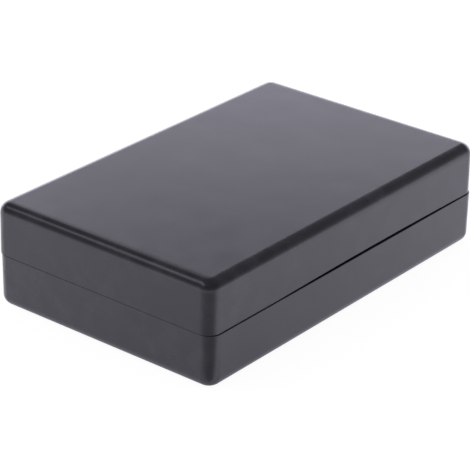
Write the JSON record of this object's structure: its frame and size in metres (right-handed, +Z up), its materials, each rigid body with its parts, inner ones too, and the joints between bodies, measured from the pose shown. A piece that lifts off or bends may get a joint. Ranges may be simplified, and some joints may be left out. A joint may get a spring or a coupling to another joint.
{
  "type": "plastic project box",
  "caption": "Two-part moulded plastic box for a small circuit board, with a lift-off cover, screw pillars and board posts inside.",
  "frame": {"origin": "centre of the underside, where the box rests", "axes": "+X along the box, +Y across it away from the side that stands proud, +Z up through the cover"},
  "size_m": [0.1248, 0.0798, 0.032],
  "materials": {
    "black_plastic": "fine satin, as moulded",
    "plated_steel": "zinc plated"
  },
  "bodies": {
    "base": {"base_shell": "black_plastic", "case_screws": "plated_steel"},
    "cover": {"cover_shell": "black_plastic"}
  },
  "joints": [
    {"name": "cover_lift", "type": "slide", "parent": "base", "child": "cover", "axis": [0, 0, 1], "range_m": [0, 0.06]}
  ]
}
